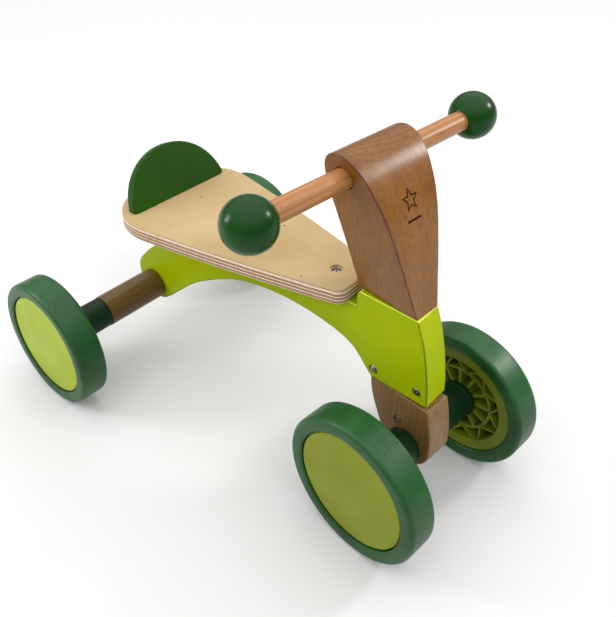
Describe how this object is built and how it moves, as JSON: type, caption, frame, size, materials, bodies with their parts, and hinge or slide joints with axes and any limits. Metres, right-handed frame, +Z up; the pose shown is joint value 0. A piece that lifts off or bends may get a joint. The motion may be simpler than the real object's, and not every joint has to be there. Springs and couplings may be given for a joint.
{
  "type": "balance bike",
  "caption": "Wooden toddler ride-on with a flat arched frame, tapered plywood seat, low backrest, steered front column, handlebar with ball grips, and wheels on wide axles.",
  "frame": {"origin": "middle of the bounding box, on the floor under the wheels", "axes": "+X forwards towards the front wheels, +Y to the rider's left, +Z up"},
  "size_m": [0.5508, 0.3572, 0.3772],
  "materials": {
    "lime_paint": "satin lime green paint over solid beech",
    "beech": "clear satin lacquer over solid beech",
    "bar_beech": "clear gloss lacquer over turned beech",
    "sleeve_beech": "clear satin lacquer over turned beech",
    "birch_ply": "clear satin lacquer over birch plywood",
    "green_paint": "satin dark green paint over plywood",
    "green_gloss": "gloss dark green paint over turned beech",
    "tyre_green": "moulded, slightly pitted dark green",
    "rim_plastic": "moulded olive green",
    "cover_plastic": "moulded light yellow-green, faintly grained",
    "collar_plastic": "moulded very dark green",
    "steel": "bright zinc plate",
    "nylon": "turned nylon"
  },
  "bodies": {
    "chassis": {"frame_board": "lime_paint", "seat_board": "birch_ply", "backrest": "green_paint", "seat_screw_front": "steel", "seat_screw_rear": "steel", "steering_bush_upper": "nylon", "steering_bush_lower": "nylon", "rear_axle": "steel", "frame_bolt_rear": "steel", "frame_bolt_front": "steel", "frame_nut_rear": "steel", "frame_nut_front": "steel", "backrest_dowel_right": "beech", "rear_sleeve_right": "sleeve_beech", "axle_retainer_rear_right": "steel", "backrest_dowel_left": "beech", "rear_sleeve_left": "sleeve_beech", "axle_retainer_rear_left": "steel"},
    "front_end": {"upper_stem": "beech", "lower_block": "beech", "steering_spindle": "steel", "block_bolt": "steel", "block_nut": "steel", "handlebar": "bar_beech", "handlebar_lock_screw": "steel", "front_axle": "steel", "axle_retainer_front_right": "steel", "handle_ball_right": "green_gloss", "axle_retainer_front_left": "steel", "handle_ball_left": "green_gloss"},
    "wheel_rear_right": {"tyre_rear_right": "tyre_green", "wheel_rim_rear_right": "rim_plastic", "wheel_cover_rear_right": "cover_plastic", "hub_collar_rear_right": "collar_plastic"},
    "wheel_rear_left": {"tyre_rear_left": "tyre_green", "wheel_rim_rear_left": "rim_plastic", "wheel_cover_rear_left": "cover_plastic", "hub_collar_rear_left": "collar_plastic"},
    "wheel_front_right": {"tyre_front_right": "tyre_green", "wheel_rim_front_right": "rim_plastic", "wheel_cover_front_right": "cover_plastic", "hub_collar_front_right": "collar_plastic"},
    "wheel_front_left": {"tyre_front_left": "tyre_green", "wheel_rim_front_left": "rim_plastic", "wheel_cover_front_left": "cover_plastic", "hub_collar_front_left": "collar_plastic"}
  },
  "joints": [
    {"name": "steer", "type": "hinge", "parent": "chassis", "child": "front_end", "pos_m": [0.17007, 0, 0.1815], "axis": [0, 0, 1], "range_deg": [-20.5, 29.5]},
    {"name": "rear_right_wheel_spin", "type": "hinge", "parent": "chassis", "child": "wheel_rear_right", "pos_m": [-0.19893, -0.1621, 0.0765], "axis": [0, 1, 0], "continuous": true},
    {"name": "rear_left_wheel_spin", "type": "hinge", "parent": "chassis", "child": "wheel_rear_left", "pos_m": [-0.19893, 0.1621, 0.0765], "axis": [0, 1, 0], "continuous": true},
    {"name": "front_right_wheel_spin", "type": "hinge", "parent": "front_end", "child": "wheel_front_right", "pos_m": [0.18547, -0.08477, 0.0765], "axis": [0.0785, 0.9969, 0], "continuous": true},
    {"name": "front_left_wheel_spin", "type": "hinge", "parent": "front_end", "child": "wheel_front_left", "pos_m": [0.19854, 0.08132, 0.0765], "axis": [0.0785, 0.9969, 0], "continuous": true}
  ]
}
